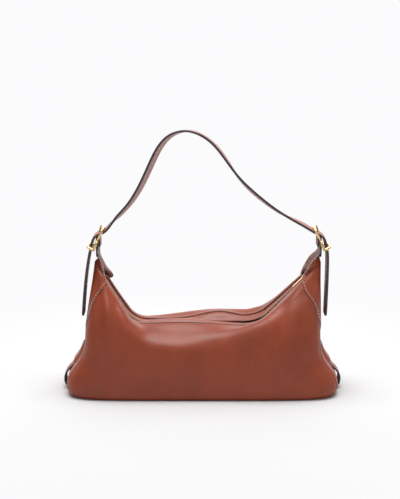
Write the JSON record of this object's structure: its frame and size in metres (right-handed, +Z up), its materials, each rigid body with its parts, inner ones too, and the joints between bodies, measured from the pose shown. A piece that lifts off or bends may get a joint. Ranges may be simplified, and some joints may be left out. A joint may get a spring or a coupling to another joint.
{
  "type": "hobo bag",
  "caption": "Leather hobo bag with a dipped zipped top, V-shaped end ears and an arched shoulder strap held by a pin buckle at each end.",
  "frame": {"origin": "centre of the footprint, on the ground under the flat base", "axes": "+X to the right end seen from the front, +Y from the front to the rear, +Z up"},
  "size_m": [0.3489, 0.124, 0.3291],
  "materials": {
    "board": "plain board",
    "base_leather": "satin leather",
    "front_leather": "satin grained leather",
    "rear_leather": "satin grained leather",
    "left_gusset_leather": "satin grained leather",
    "right_gusset_leather": "satin grained leather",
    "front_placket_leather": "satin leather",
    "rear_placket_leather": "satin leather",
    "front_tape": "woven tape",
    "rear_tape": "woven tape",
    "zip_teeth": "polished gold tone",
    "zip_slider": "polished gold tone",
    "zip_pull": "polished gold tone",
    "pocket_lining": "woven lining",
    "lining_base": "woven lining",
    "lining_front": "woven lining",
    "lining_rear": "woven lining",
    "left_ear_leather": "satin grained leather",
    "right_ear_leather": "satin grained leather",
    "left_keeper_leather": "satin leather",
    "right_keeper_leather": "satin leather",
    "left_base_strap_leather": "satin leather",
    "right_base_strap_leather": "satin leather",
    "left_buckle_metal": "polished gold tone",
    "right_buckle_metal": "polished gold tone",
    "left_prong_metal": "polished gold tone",
    "right_prong_metal": "polished gold tone",
    "left_chape_leather": "satin leather",
    "right_chape_leather": "satin leather",
    "strap_leather": "satin leather, painted edges"
  },
  "bodies": {
    "bag": {"base_board": "board", "base_panel": "base_leather", "front_panel": "front_leather", "rear_panel": "rear_leather", "left_gusset": "left_gusset_leather", "right_gusset": "right_gusset_leather", "front_placket": "front_placket_leather", "rear_placket": "rear_placket_leather", "front_zip_tape": "front_tape", "rear_zip_tape": "rear_tape", "zip_chain": "zip_teeth", "inner_pocket": "pocket_lining", "lining_base": "lining_base", "lining_front": "lining_front", "lining_rear": "lining_rear", "left_ear": "left_ear_leather", "right_ear": "right_ear_leather", "left_keeper": "left_keeper_leather", "right_keeper": "right_keeper_leather", "left_base_strap": "left_base_strap_leather", "right_base_strap": "right_base_strap_leather"},
    "strap": {"shoulder_strap": "strap_leather", "left_buckle_frame": "left_buckle_metal", "right_buckle_frame": "right_buckle_metal", "left_chape": "left_chape_leather", "right_chape": "right_chape_leather"},
    "left_prong": {"left_prong": "left_prong_metal"},
    "right_prong": {"right_prong": "right_prong_metal"},
    "zip_slider": {"zip_slider": "zip_slider"},
    "zip_pull": {"zip_pull": "zip_pull"}
  },
  "joints": [
    {"name": "strap_swing", "type": "hinge", "parent": "bag", "child": "strap", "pos_m": [0, 0, 0.18], "axis": [1, 0, 0], "range_deg": [-35, 35]},
    {"name": "right_prong_lift", "type": "hinge", "parent": "strap", "child": "right_prong", "pos_m": [0.146, 0, 0.1932], "axis": [0, 1, 0], "range_deg": [0, 40]},
    {"name": "left_prong_lift", "type": "hinge", "parent": "strap", "child": "left_prong", "pos_m": [-0.13, 0, 0.1932], "axis": [0, -1, 0], "range_deg": [0, 40]},
    {"name": "zip_slide", "type": "slide", "parent": "bag", "child": "zip_slider", "axis": [-0.7071, 0, -0.7071], "range_m": [0, 0.045]},
    {"name": "zip_pull_lift", "type": "hinge", "parent": "zip_slider", "child": "zip_pull", "pos_m": [0.12711, 0, 0.14289], "axis": [0, 1, 0], "range_deg": [0, 110]}
  ]
}
